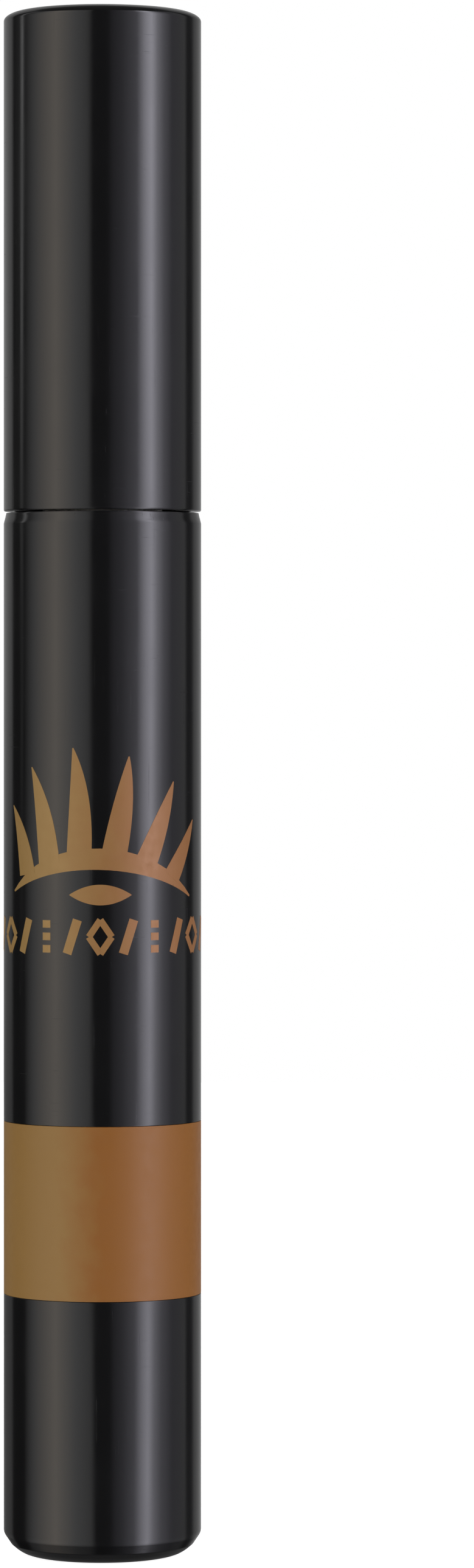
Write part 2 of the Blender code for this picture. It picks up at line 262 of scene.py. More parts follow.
def skin_into(shape, rings):
    """Adds a closed tube through a stack of rings of points in millimetres."""
    loops = [[shape.verts.new([c * MM for c in point]) for point in ring] for ring in rings]
    count = len(loops[0])
    for low, high in zip(loops, loops[1:]):
        for i in range(count):
            j = (i + 1) % count
            shape.faces.new((low[i], low[j], high[j], high[i]))
    shape.faces.new(list(reversed(loops[0])))
    shape.faces.new(loops[-1])


def shell_into(shape, grid, back, wraps=True):
    """Adds a closed skin from a grid of front points and a matching grid of back points."""
    front = [[shape.verts.new([c * MM for c in point]) for point in row] for row in grid]
    rear = [[shape.verts.new([c * MM for c in point]) for point in row] for row in back]
    rows, columns = len(grid), len(grid[0])
    last = columns if wraps else columns - 1
    for i in range(rows - 1):
        for j in range(last):
            k = (j + 1) % columns
            shape.faces.new((front[i][j], front[i][k], front[i + 1][k], front[i + 1][j]))
            shape.faces.new((rear[i][j], rear[i + 1][j], rear[i + 1][k], rear[i][k]))
    for i in (0, rows - 1):
        for j in range(last):
            k = (j + 1) % columns
            shape.faces.new((front[i][j], front[i][k], rear[i][k], rear[i][j]))
    if not wraps:
        for j in (0, columns - 1):
            for i in range(rows - 1):
                shape.faces.new((front[i][j], front[i + 1][j], rear[i + 1][j], rear[i][j]))


def around(r, angle, z):
    """The point at a radius, angle and height about the tube's axis."""
    return (r * math.cos(angle), r * math.sin(angle), z)


def smooth_noise(x, y, z):
    """Seedless smooth noise, about -1 to 1."""
    return noise.noise(Vector((x, y, z)), noise_basis="PERLIN_ORIGINAL")


def soft_step(value, low, high):
    """Rises smoothly from 0 at low to 1 at high."""
    share = min(1.0, max(0.0, (value - low) / (high - low)))
    return share * share * (3.0 - 2.0 * share)


def thread_into(shape, root_r, crest_r, low_z):
    """Adds a screw thread's rounded ridge, which sinks into its wall at both ends."""
    outward = 1.0 if crest_r > root_r else -1.0
    depth = abs(crest_r - root_r)
    section = ((-0.42, -0.25), (-0.36, 0.0), (-0.28, 0.62), (-0.20, 0.93), (-0.12, 1.0))
    section += tuple((-across, rise) for across, rise in reversed(section))
    steps = round(TURNS * THREAD_STEPS)
    rings = []
    for i in range(steps + 1):
        share = i / steps
        fade = min(soft_step(share, 0.0, 0.12), soft_step(1.0 - share, 0.0, 0.12))
        angle = math.tau * TURNS * share
        z = low_z + PITCH * TURNS * share
        ring = []
        for across, rise in section:
            r = root_r + outward * depth * (rise * fade - 0.1 * (1.0 - fade))
            ring.append(around(r, angle, z + across))
        rings.append(ring)
    skin_into(shape, rings)


# ---------------------------------------------------------------- materials


def new_look(name):
    look = bpy.data.materials.new(name)
    look.use_nodes = True
    nodes = look.node_tree.nodes
    return look, nodes, look.node_tree.links, nodes["Principled BSDF"]


def mm_coordinates(nodes, links, scale=(1.0, 1.0, 1.0)):
    """Object coordinates in millimetres, stretched by scale."""
    place = nodes.new("ShaderNodeTexCoord")
    mapping = nodes.new("ShaderNodeMapping")
    mapping.inputs["Scale"].default_value = [s / MM for s in scale]
    links.new(place.outputs["Object"], mapping.inputs["Vector"])
    return mapping.outputs["Vector"]


def noise_value(nodes, links, vector, scale, detail=2.0, low=0.0, high=1.0, start=0.35, end=0.65):
    """Noise spread between low and high."""
    texture = nodes.new("ShaderNodeTexNoise")
    texture.inputs["Scale"].default_value = scale
    texture.inputs["Detail"].default_value = detail
    links.new(vector, texture.inputs["Vector"])
    spread = nodes.new("ShaderNodeMapRange")
    spread.inputs["From Min"].default_value = start
    spread.inputs["From Max"].default_value = end
    spread.inputs["To Min"].default_value = low
    spread.inputs["To Max"].default_value = high
    links.new(texture.outputs["Fac"], spread.inputs["Value"])
    return spread.outputs["Result"]


def math_node(nodes, links, operation, a, b):
    node = nodes.new("ShaderNodeMath")
    node.operation = operation
    for socket, value in zip(node.inputs, (a, b)):
        if isinstance(value, (int, float)):
            socket.default_value = value
        else:
            links.new(value, socket)
    return node.outputs["Value"]


def ramp_colour(nodes, links, value, dark, light, turn=(0.0, 1.0)):
    """A colour that goes from dark to light while the value crosses the turn."""
    ramp = nodes.new("ShaderNodeValToRGB")
    for element, place, colour in zip(ramp.color_ramp.elements, turn, (dark, light)):
        element.position = place
        element.color = (*colour, 1.0)
    links.new(value, ramp.inputs["Fac"])
    return ramp.outputs["Color"]


def add_bump(nodes, links, shader, height, strength, distance_mm):
    bump = nodes.new("ShaderNodeBump")
    bump.inputs["Strength"].default_value = strength
    bump.inputs["Distance"].default_value = distance_mm * MM
    links.new(height, bump.inputs["Height"])
    links.new(bump.outputs["Normal"], shader.inputs["Normal"])


def black_plastic(name, colour, roughness, scuff, grain_mm=0.0012):
    """Moulded black plastic: faint flow waviness, hairline scratches and a slightly uneven polish."""
    look, nodes, links, shader = new_look(name)
    even = mm_coordinates(nodes, links)
    upright = mm_coordinates(nodes, links, (6.0, 6.0, 0.12))
    level = mm_coordinates(nodes, links, (0.35, 0.35, 9.0))
    tone = noise_value(nodes, links, even, 0.12, 2.0)
    lighter = tuple(c * 1.12 for c in colour)
    links.new(ramp_colour(nodes, links, tone, colour, lighter), shader.inputs["Base Color"])
    polish = noise_value(nodes, links, even, 0.22, 3.0, -0.02, 0.03)
    hairs = noise_value(nodes, links, upright, 1.0, 1.0, 0.0, 1.0, 0.66, 0.74)
    rings = noise_value(nodes, links, level, 1.0, 1.0, 0.0, 1.0, 0.67, 0.75)
    scratches = math_node(nodes, links, "MAXIMUM", hairs, rings)
    patches = noise_value(nodes, links, even, 0.35, 2.0, 0.0, 1.0, 0.5, 0.62)
    worn = math_node(nodes, links, "MULTIPLY", scratches, patches)
    rough = math_node(nodes, links, "MULTIPLY", worn, scuff)
    rough = math_node(nodes, links, "ADD", rough, polish)
    rough = math_node(nodes, links, "ADD", rough, roughness)
    links.new(rough, shader.inputs["Roughness"])
    grain = noise_value(nodes, links, even, 2.2, 3.0)
    height = math_node(nodes, links, "MULTIPLY", worn, -1.5)
    height = math_node(nodes, links, "ADD", height, grain)
    add_bump(nodes, links, shader, height, 0.25, grain_mm)
    return look


def plain_look(name, dark, light, rough, grain, tone_scale=0.4, subsurface=0.0):
    """A two-tone surface. rough is (low, high, scale) and grain is (strength, depth, scale)."""
    look, nodes, links, shader = new_look(name)
    if subsurface:
        shader.inputs["Subsurface Weight"].default_value = subsurface
        shader.inputs["Subsurface Scale"].default_value = 0.6 * MM
    even = mm_coordinates(nodes, links)
    tone = noise_value(nodes, links, even, tone_scale, 4.0)
    links.new(ramp_colour(nodes, links, tone, dark, light), shader.inputs["Base Color"])
    rough_low, rough_high, rough_scale = rough
    polish = noise_value(nodes, links, even, rough_scale, 3.0, rough_low, rough_high)
    links.new(polish, shader.inputs["Roughness"])
    strength, depth, scale = grain
    fine = noise_value(nodes, links, even, scale, 4.0)
    add_bump(nodes, links, shader, fine, strength, depth)
    return look


def side_lit_look(name, left, right, rough, grain, metallic=0.0, turn=(0.0, 1.0), specular=0.5):
    """A brown that drifts from its left colour to its right colour across the front of the tube: painted
    light, lighter and more olive on the -X side where the warm lamp's broad highlight falls, darker
    orange-brown on the +X side.
    """
    look, nodes, links, shader = new_look(name)
    shader.inputs["Metallic"].default_value = metallic
    shader.inputs["Specular IOR Level"].default_value = specular
    even = mm_coordinates(nodes, links)
    # Painted light: the colour follows X, lighter and more olive on the -X side as the warm lamp's
    # highlight, darker towards +X.
    split = nodes.new("ShaderNodeSeparateXYZ")
    links.new(even, split.inputs["Vector"])
    painted_side_light = nodes.new("ShaderNodeMapRange")
    painted_side_light.inputs["From Min"].default_value = -OUTER_R
    painted_side_light.inputs["From Max"].default_value = OUTER_R
    links.new(split.outputs["X"], painted_side_light.inputs["Value"])
    mottle = noise_value(nodes, links, even, 0.5, 3.0, -0.03, 0.03)
    tone = math_node(nodes, links, "ADD", painted_side_light.outputs["Result"], mottle)
    links.new(ramp_colour(nodes, links, tone, left, right, turn), shader.inputs["Base Color"])
    rough_low, rough_high, rough_scale = rough
    polish = noise_value(nodes, links, even, rough_scale, 3.0, rough_low, rough_high)
    links.new(polish, shader.inputs["Roughness"])
    strength, depth, scale = grain
    add_bump(nodes, links, shader, noise_value(nodes, links, even, scale, 3.0), strength, depth)
    return look


def steel_look():
    """Drawn wire: bright metal with fine lines along it and brown residue in patches."""
    look, nodes, links, shader = new_look("steel_wire")
    even = mm_coordinates(nodes, links)
    stain = noise_value(nodes, links, even, 0.9, 4.0, 0.0, 1.0, 0.52, 0.66)
    colour = ramp_colour(nodes, links, stain, (0.56, 0.56, 0.57), (0.30, 0.13, 0.08))
    links.new(colour, shader.inputs["Base Color"])
    links.new(math_node(nodes, links, "SUBTRACT", 1.0, stain), shader.inputs["Metallic"])
    links.new(noise_value(nodes, links, even, 3.0, 3.0, 0.22, 0.38), shader.inputs["Roughness"])
    lines = mm_coordinates(nodes, links, (9.0, 9.0, 0.6))
    add_bump(nodes, links, shader, noise_value(nodes, links, lines, 1.0, 3.0), 0.3, 0.006)
    return look


GLOSS_BLACK = black_plastic("gloss_black_plastic", (0.0030, 0.0030, 0.0032), 0.12, 0.16)
SATIN_BLACK = black_plastic("satin_black_plastic", (0.0120, 0.0120, 0.0125), 0.30, 0.12, 0.004)
# Painted highlight: the sleeve's left colour is lighter and more olive, as the warm lamp's highlight on
# the -X side; its right colour is a darker orange-brown.
BAND_BROWN = side_lit_look(
    "brown_sleeve",
    (0.204, 0.111, 0.025),
    (0.186, 0.069, 0.008),
    (0.40, 0.47, 1.2),
    (0.25, 0.004, 9.0),
    turn=(0.29, 0.50),
    specular=0.35,
)
# Painted light: the print is coloured lighter and more olive on the -X side, as lit by the warm lamp
# there, and darker towards +X.
BRONZE = side_lit_look(
    "bronze_print",
    (0.235, 0.138, 0.037),
    (0.215, 0.090, 0.025),
    (0.40, 0.52, 1.5),
    (0.15, 0.002, 14.0),
    metallic=0.15,
    turn=(0.25, 0.70),
)
MILKY = plain_look(
    "milky_plastic",
    (0.55, 0.53, 0.49),
    (0.64, 0.62, 0.58),
    (0.34, 0.46, 0.8),
    (0.3, 0.006, 4.0),
    tone_scale=0.2,
)
SOFT_PLASTIC = plain_look(
    "soft_plastic",
    (0.50, 0.48, 0.46),
    (0.58, 0.57, 0.54),
    (0.48, 0.60, 0.9),
    (0.3, 0.006, 5.0),
    tone_scale=0.3,
)
RUBBER = plain_look(
    "seal_rubber", (0.07, 0.07, 0.07), (0.11, 0.11, 0.11), (0.62, 0.78, 1.5), (0.4, 0.010, 6.0)
)
PASTE = plain_look(
    "brown_paste",
    (0.24, 0.066, 0.030),
    (0.50, 0.185, 0.098),
    (0.14, 0.38, 1.4),
    (0.6, 0.050, 3.2),
    tone_scale=1.1,
    subsurface=0.10,
)
BRISTLE = plain_look(
    "coated_bristles",
    (0.022, 0.009, 0.006),
    (0.150, 0.058, 0.032),
    (0.25, 0.50, 2.5),
    (0.5, 0.015, 9.0),
    tone_scale=2.2,
)
STEEL = steel_look()


# ---------------------------------------------------------------- outside pieces


def outer_case():
    """The case: a foot, a shallow seat for the colour band, and a shoulder under the cap."""
    seat_r = OUTER_R - BAND_THICK - BAND_SEAT
    edge = BAND_EDGE
    top = BAND_HIGH.z + BAND_SEAT
    low = BAND_LOW.z - BAND_SEAT
    rim = CASE_TOP - RIM_DROP
    outline = [(BORE_R + RIM_ROUND, rim)]
    outline += [(OUTER_R - inset, rim - drop) for inset, drop in SHOULDER]
    outline += arc(OUTER_R - edge, top + edge, edge, 0, -90, 3)
    outline += [(seat_r, top), (seat_r, low)]
    outline += arc(OUTER_R - edge, low - edge, edge, 90, 0, 3)
    outline += [(OUTER_R - inset, z) for inset, z in FOOT]
    outline += [(0.0, 0.0), (0.0, BASE_THICK)]
    outline += [(BORE_R - FLOOR_CHAMFER, BASE_THICK), (BORE_R, BASE_THICK + FLOOR_CHAMFER)]
    outline += [(BORE_R, rim - RIM_ROUND)]
    mesh = lathe("case_shell", outline, segments=FINE_ROUND)
    add_piece("case_shell", mesh, GLOSS_BLACK, "tube", ["outer_case"])


def colour_band():
    """The thin sleeve in the case's seat."""
    edge = BAND_EDGE
    inner_r = OUTER_R - BAND_THICK
    outline = [(inner_r, BAND_HIGH.z)] + arc(OUTER_R - edge, BAND_HIGH.z - edge, edge, 90, 0, 4)
    outline += arc(OUTER_R - edge, BAND_LOW.z + edge, edge, 0, -90, 4) + [(inner_r, BAND_LOW.z)]
    mesh = lathe("band_sleeve", outline, segments=FINE_ROUND)
    add_piece("band_sleeve", mesh, BAND_BROWN, "tube", ["colour_band"])


def cap_shell():
    """The cap's shell: a flat crown with a wide, low rounding, and a rim with small rounds."""
    rim = RIM_ROUND
    under = CAP_TOP - CROWN_THICK
    outline = [(0.0, CAP_TOP), (OUTER_R / 2, CAP_TOP)]
    for i in range(15):
        angle = math.radians(90.0 - 90.0 * i / 14)
        r = OUTER_R - CROWN_ROUND_R * (1.0 - math.cos(angle))
        outline.append((r, CAP_TOP - CROWN_ROUND_H * (1.0 - math.sin(angle))))
    outline += arc(OUTER_R - rim, CAP_RIM + rim, rim, 0, -90, 4)
    outline += arc(BORE_R + rim, CAP_RIM + rim, rim, -90, -180, 4)
    outline += [(BORE_R, under - CROWN_CORNER), (BORE_R - CROWN_CORNER, under), (0.0, under)]
    mesh = lathe("cap_outer_shell", outline, closed=False, segments=FINE_ROUND)
    add_piece("cap_outer_shell", mesh, GLOSS_BLACK, "cap", ["cap_shell"])


# ---------------------------------------------------------------- print on the case

PRINT_PROUD = 0.012
PRINT_SINK = 0.030
PRINT_COLUMNS = 7
PRINT_STEPS = 22

# Strokes of the lash fan as (start, bend, end, widths at start, middle and end),
# with points as (distance around the tube from its front, height)
FAN = (
    ((-8.7, 55.5), (-0.2, 61.2), (8.9, 55.1), (0.15, 1.75, 0.15)),
    ((-6.9, 56.9), (-7.4, 60.4), (-8.9, 62.6), (1.9, 1.35, 0.10)),
    ((-4.5, 57.9), (-4.9, 62.6), (-6.3, 65.8), (2.0, 1.50, 0.10)),
    ((-1.8, 58.4), (-1.5, 63.8), (-2.3, 67.4), (2.1, 1.60, 0.10)),
    ((1.1, 58.4), (2.1, 63.2), (2.4, 66.7), (2.1, 1.60, 0.10)),
    ((3.9, 57.9), (5.6, 61.6), (6.7, 64.6), (2.0, 1.45, 0.10)),
    ((6.5, 56.7), (8.3, 59.3), (9.5, 61.4), (1.8, 1.25, 0.10)),
)
LENS_MARK = ((-2.6, 55.3), (0.0, 55.3), (2.6, 55.3), (0.05, 1.70, 0.05))
ROW_LOW = 50.45
ROW_HIGH = 53.25
ROW_STEP = 2.36
ROW_COUNT = 17
BAR_W = 0.78
BAR_SLANT = 0.9
DIAMOND_W = 0.95
DIAMOND_LINE = 0.54
DOT_W = 0.75


def on_case(across, z, lift):
    """The point on the case at a distance along its front curve, lifted off the surface."""
    return around(OUTER_R + lift, across / OUTER_R - math.pi / 2, z)


def stroke_into(shape, start, bend, end, widths, steps=PRINT_STEPS):
    """Adds a curved, tapered stroke of ink that wraps around the case."""
    start, bend, end = Vector(start), Vector(bend), Vector(end)
    first, middle, last = widths
    grid = []
    for i in range(steps + 1):
        t = i / steps
        point = start * (1 - t) ** 2 + bend * 2 * t * (1 - t) + end * t * t
        along = (bend - start) * (1 - t) + (end - bend) * t
        side = Vector((-along.y, along.x)).normalized()
        width = first * (1 - t) * (1 - 2 * t) + middle * 4 * t * (1 - t) + last * t * (2 * t - 1)
        half = max(width, 0.03) / 2
        spread = [2 * k / (PRINT_COLUMNS - 1) - 1 for k in range(PRINT_COLUMNS)]
        grid.append([point + side * half * reach for reach in spread])
    front = [[on_case(p.x, p.y, PRINT_PROUD) for p in row] for row in grid]
    back = [[on_case(p.x, p.y, -PRINT_SINK) for p in row] for row in grid]
    shell_into(shape, front, back, wraps=False)


def straight_into(shape, start, end, width):
    """Adds a straight stroke of even width."""
    middle = ((start[0] + end[0]) / 2, (start[1] + end[1]) / 2)
    stroke_into(shape, start, middle, end, (width, width, width), steps=6)


def lash_fan():
    """A fan of curved lashes over a lens shape."""
    shape = bmesh.new()
    for start, bend, end, widths in FAN:
        stroke_into(shape, start, bend, end, widths)
    stroke_into(shape, *LENS_MARK)
    add_piece("print_lash_fan", finish_mesh(shape, "print_lash_fan"), BRONZE, "tube")


def mark_row():
    """A band of small plain marks around the case: diamonds, slanted bars and stacked dots in turn."""
    shape = bmesh.new()
    middle = (ROW_LOW + ROW_HIGH) / 2
    for i in range(ROW_COUNT):
        across = (i - (ROW_COUNT - 1) / 2) * ROW_STEP
        kind = i % 4
        if kind == 0:
            corners = [(across, ROW_LOW), (across + DIAMOND_W, middle)]
            corners += [(across, ROW_HIGH), (across - DIAMOND_W, middle)]
            for a, b in zip(corners, corners[1:] + corners[:1]):
                straight_into(shape, a, b, DIAMOND_LINE)
        elif kind == 2:
            for z in (ROW_LOW + DOT_W / 2, middle, ROW_HIGH - DOT_W / 2):
                straight_into(shape, (across, z - DOT_W / 2.4), (across, z + DOT_W / 2.4), DOT_W)
        else:
            lean = BAR_SLANT / 2
            straight_into(shape, (across - lean, ROW_LOW), (across + lean, ROW_HIGH), BAR_W)
    add_piece("print_mark_row", finish_mesh(shape, "print_mark_row"), BRONZE, "tube")


# ---------------------------------------------------------------- inside pieces


def inner_bottle():
    """The bottle: a vial, a shoulder, and a threaded neck with a groove inside for the wiper's bead."""
    bore = VIAL_R - VIAL_WALL
    floor = BOTTLE_LOW.z + VIAL_FLOOR
    top = BOTTLE_HIGH.z
    lip, fillet, edge = NECK_LIP, NECK_FILLET, BOTTLE_EDGE
    outline = [(NECK_BORE_R + NECK_LIP_BEVEL, top)] + arc(NECK_R - lip, top - lip, lip, 90, 0, 4)
    outline += [(NECK_R, SHOULDER_HIGH + fillet)]
    outline += arc(NECK_R + fillet, SHOULDER_HIGH + fillet, fillet, 180, 270, 4)
    outline += arc(BOTTLE_HIGH.x - edge, SHOULDER_HIGH - edge, edge, 90, 0, 3)
    outline += [(BOTTLE_HIGH.x, SHOULDER_LOW), (VIAL_R, SHOULDER_LOW)]
    foot = VIAL_FOOT_ROUND
    outline += arc(VIAL_R - foot, BOTTLE_LOW.z + foot, foot, 0, -90, 8)
    outline += [(0.0, BOTTLE_LOW.z), (0.0, floor)]
    outline += [(bore - VIAL_CORNER, floor), (bore, floor + VIAL_CORNER)]
    outline += [(bore, FUNNEL_LOW), (NECK_BORE_R, FUNNEL_HIGH)]
    outline += [(NECK_BORE_R, SNAP_LOW), (SNAP_R, SNAP_LOW + SNAP_SLOPE)]
    outline += [(SNAP_R, SNAP_HIGH - SNAP_SLOPE), (NECK_BORE_R, SNAP_HIGH)]
    outline += [(NECK_BORE_R, top - NECK_LIP_BEVEL)]
    shape = bmesh.new()
    lathe_into(shape, outline)
    thread_into(shape, NECK_R, NECK_CREST_R, NECK_THREAD_LOW)
    mesh = finish_mesh(shape, "bottle_with_neck")
    add_piece("bottle_with_neck", mesh, MILKY, "tube", ["inner_bottle"])


def wiper_bore():
    """The wiper's inner wall from its mouth down to the orifice, as (radius, height)."""
    wall_r = PLUG_R - WIPER_WALL
    points = [(wall_r + step, WIPER_HIGH.z + rise) for step, rise in MOUTH_STEPS]
    points += [(wall_r + step, WIPER_CONE + rise) for step, rise in CONE_STEPS]
    return points + [(ORIFICE_R + step, WIPER_LOW.z + rise) for step, rise in LIP_STEPS]


def wiper():
    """The wiper: a flange on the neck, a plug with a snap bead, and a cone down to the orifice."""
    flange_low = WIPER_HIGH.z - WIPER_FLANGE_T
    flange_r = WIPER_HIGH.x
    edge = WIPER_FLANGE_ROUND
    bead_z = (SNAP_LOW + SNAP_HIGH) / 2
    lip_r = ORIFICE_R + WIPER_WALL
    outline = arc(flange_r - edge, WIPER_HIGH.z - edge, edge, 90, 0, 4)
    outline += [(flange_r, flange_low), (PLUG_R, flange_low), (PLUG_R, bead_z + BEAD_HALF)]
    outline += arc(PLUG_R - BEAD_SINK, bead_z, BEAD_ROUND, 60, -60, 6)
    outline += [(PLUG_R, bead_z - BEAD_HALF), (PLUG_R, WIPER_CONE)]
    outline += [(lip_r, WIPER_LOW.z + WIPER_LIP_RISE), (lip_r - WIPER_LIP_RISE, WIPER_LOW.z)]
    outline += list(reversed(wiper_bore()))
    mesh = lathe("wiper_plug", outline)
    add_piece("wiper_plug", mesh, SOFT_PLASTIC, "tube", ["wiper"])


def resample(points, step):
    """Points at an even spacing along a line of (radius, height) points, each with its direction."""
    made = []
    for (r0, z0), (r1, z1) in zip(points, points[1:]):
        wide, tall = r1 - r0, z1 - z0
        length = math.hypot(wide, tall)
        count = max(1, round(length / step))
        for i in range(count):
            share = i / count
            made.append((r0 + wide * share, z0 + tall * share, wide / length, tall / length))
    return made


def coating(name, path, body, cover, thickness, side=1.0):
    """Paste smeared over a turned surface. Where cover is zero it lies hidden below the surface."""
    front, back = [], []
    for r, z, along_r, along_z in path:
        out_r, out_z = -along_z * side, along_r * side
        row, rear = [], []
        for k in range(PASTE_COLUMNS):
            angle = math.tau * k / PASTE_COLUMNS
            lift = thickness * cover(angle, z) - PASTE_SINK
            row.append(around(r + out_r * lift, angle, z + out_z * lift))
            rear.append(around(r - out_r * PASTE_BACK, angle, z - out_z * PASTE_BACK))
        front.append(row)
        back.append(rear)
    shape = bmesh.new()
    shell_into(shape, front, back)
    add_piece(name, finish_mesh(shape, name, 60), PASTE, body)


def wiper_cover(angle, z):
    """Share of the paste's thickness on the wiper's bore: patches, closing up near the orifice."""
    x, y = 2.4 * math.cos(angle), 2.4 * math.sin(angle)
    patch = smooth_noise(x, y, z * 0.55) + 0.5 * smooth_noise(2.2 * x, 2.2 * y, z * 1.6)
    near_orifice = soft_step(WIPER_CONE + 2.0 - z, 0.0, 3.5)
    film = 0.75 + 0.25 * smooth_noise(x * 3, y * 3, z * 2)
    return soft_step(patch + 0.75 * near_orifice, 0.12, 0.42) * film


def rod_cover(angle, z):
    """Share of the paste's thickness on the rod's end: a ragged edge with one long streak."""
    x, y = 2.0 * math.cos(angle), 2.0 * math.sin(angle)
    edge = 1.0 + 1.1 * smooth_noise(1.4 * x, 1.4 * y, 3.1) + 0.5 * smooth_noise(4 * x, 4 * y, 7.3)
    streak_angle = math.atan2(math.sin(angle + 1.75), math.cos(angle + 1.75))
    edge += 1.3 * math.exp(-((streak_angle / 0.10) ** 2))
    film = 0.7 + 0.3 * smooth_noise(2 * x, 2 * y, z * 1.3)
    return soft_step(edge - (z - ROD_LOW.z), 0.0, 0.35) * film


def paste_fill():
    """The paste in the vial: a smeared top and a channel with the brush's marks in it."""
    skin_r = FILL_HIGH.x
    corner = FILL_CORNER
    top = FILL_HIGH.z
    outline = [(skin_r, top - 0.1), (skin_r, FILL_LOW.z + corner), (skin_r - corner, FILL_LOW.z)]
    outline += [(0.0, FILL_LOW.z), (0.0, CHANNEL_LOW), (CHANNEL_R - CHANNEL_ROUND, CHANNEL_LOW)]
    channel = [(CHANNEL_R, CHANNEL_LOW + CHANNEL_ROUND), (CHANNEL_R, top - 0.9)]
    outline += [(r, z) for r, z, _, _ in resample(channel, 0.5)]
    outline += [(CHANNEL_R + (skin_r - CHANNEL_R) * i / 6, top - 0.8 + 0.7 * i / 6) for i in range(6)]
    mesh = lathe("paste_fill", outline, segments=FILL_COLUMNS)
    for vert in mesh.vertices:
        x, y, z = (c / MM for c in vert.co)
        r = math.hypot(x, y)
        if z > CHANNEL_LOW + 1.5 and CHANNEL_R - 0.01 < r < skin_r - 0.01:
            angle = math.atan2(y, x)
            mark = 0.05 * math.cos(2 * angle + math.tau * z / (BRUSH_LEAD / 2))
            swell = 0.10 * max(-0.3, smooth_noise(x * 0.7, y * 0.7, z * 0.5))
            push = 1.0 + (0.05 + mark + swell) / r
            lift = 0.25 * smooth_noise(x, y, 4.0) if z > top - 0.85 else 0.0
            vert.co = Vector((x * push, y * push, min(z + lift, top))) * MM
    add_piece("paste_fill", mesh, PASTE, "tube", ["mascara_fill"])


def inner_cap():
    """The cap's insert: a threaded skirt with ribs outside, a roof, and the rod's socket above it."""
    top = INSERT_HIGH.z
    socket_end = ROD_HIGH.z + SOCKET_END_GAP
    edge, rim, bevel = INSERT_ROUND, INSERT_RIM_ROUND, INSERT_MOUTH_BEVEL
    outline = [(0.0, top), (SOCKET_R - 2 * edge, top)] + arc(SOCKET_R - edge, top - edge, edge, 90, 0, 4)
    outline += [(SOCKET_R, INSERT_ROOF_HIGH + edge)]
    outline += arc(SOCKET_R + edge, INSERT_ROOF_HIGH + edge, edge, 180, 270, 4)
    outline += arc(INSERT_R - edge, INSERT_ROOF_HIGH - edge, edge, 90, 0, 4)
    outline += arc(INSERT_R - rim, INSERT_LOW.z + rim, rim, 0, -90, 3)
    outline += [(INSERT_ROOT_R + bevel, INSERT_LOW.z), (INSERT_ROOT_R, INSERT_LOW.z + bevel)]
    outline += [(INSERT_ROOT_R, INSERT_ROOF_LOW), (SOCKET_BORE_R, INSERT_ROOF_LOW)]
    outline += [(SOCKET_BORE_R, socket_end), (0.0, socket_end)]
    shape = bmesh.new()
    lathe_into(shape, outline, closed=False)
    thread_into(shape, INSERT_ROOT_R, INSERT_CREST_R, NECK_THREAD_LOW - PITCH / 2)
    low_r = INSERT_R - RIB_SINK
    low_z = INSERT_LOW.z + RIB_END_INSET
    high_z = INSERT_ROOF_HIGH - RIB_END_INSET
    rib_r = BORE_R - RIB_FIT
    half = RIB_W / 2
    tip_half = half * RIB_TIP_SHARE
    ramp = RIB_RAMP
    for i in range(RIB_COUNT):
        turn = Matrix.Rotation(math.tau * (i + 0.5) / RIB_COUNT, 3, "Z")
        rings = []
        for z, pull in ((low_z, ramp), (low_z + ramp, 0.0), (high_z - ramp, 0.0), (high_z, ramp)):
            tip_r = rib_r - pull
            section = ((low_r, -half), (tip_r, -tip_half), (tip_r, tip_half), (low_r, half))
            rings.append([tuple(turn @ Vector((r, across, z))) for r, across in section])
        skin_into(shape, rings)
    mesh = finish_mesh(shape, "cap_insert")
    add_piece("cap_insert", mesh, SATIN_BLACK, "cap", ["inner_cap"])


def seal_ring():
    """The washer between the insert and the wiper's flange."""
    edge = SEAL_ROUND
    inner_r = SOCKET_BORE_R + SEAL_CLEAR
    outer_r = SEAL_HIGH.x
    outline = arc(outer_r - edge, SEAL_HIGH.z - edge, edge, 90, 0, 3)
    outline += arc(outer_r - edge, SEAL_LOW.z + edge, edge, 0, -90, 3)
    outline += arc(inner_r + edge, SEAL_LOW.z + edge, edge, -90, -180, 3)
    outline += arc(inner_r + edge, SEAL_HIGH.z - edge, edge, 180, 90, 3)
    mesh = lathe("seal_washer", outline)
    add_piece("seal_washer", mesh, RUBBER, "seal", ["seal_ring"])


# ---------------------------------------------------------------- applicator

# Radius of the bristle ends against the share of the brush's length, from the tip to the rod
BRUSH_TAPER = ((0.0, 1.45), (0.17, 1.85), (0.38, 2.45), (0.59, 3.08), (0.72, 3.40), (0.81, 3.46))
BRUSH_TAPER += ((0.90, 2.95), (1.0, 2.25))
RIDGE_STEP = BRUSH_LEAD / 2
BRUSH_ROWS = 330
BRUSH_COLUMNS = 168
BRISTLE_COUNT = 5200
HORN = 0.45


def taper(share):
    """Radius of the bristle ends at a share of the brush's length."""
    for (low, low_r), (high, high_r) in zip(BRUSH_TAPER, BRUSH_TAPER[1:]):
        if share <= high:
            return low_r + (high_r - low_r) * (share - low) / (high - low)
    return BRUSH_TAPER[-1][1]


def ridge_profile(phase, share):
    """Height of a ridge across its step: a slope of paste that ends in a sharp edge towards the rod."""
    p = phase % 1.0
    slope = soft_step(p, -0.10, 0.62) * (1.0 - soft_step(p, 0.72, 0.90))
    finger = soft_step(p, 0.12, 0.34) * (1.0 - soft_step(p, 0.70, 0.90))
    blend = soft_step(share, 0.40, 0.72)
    return slope * (1.0 - blend) + finger * blend


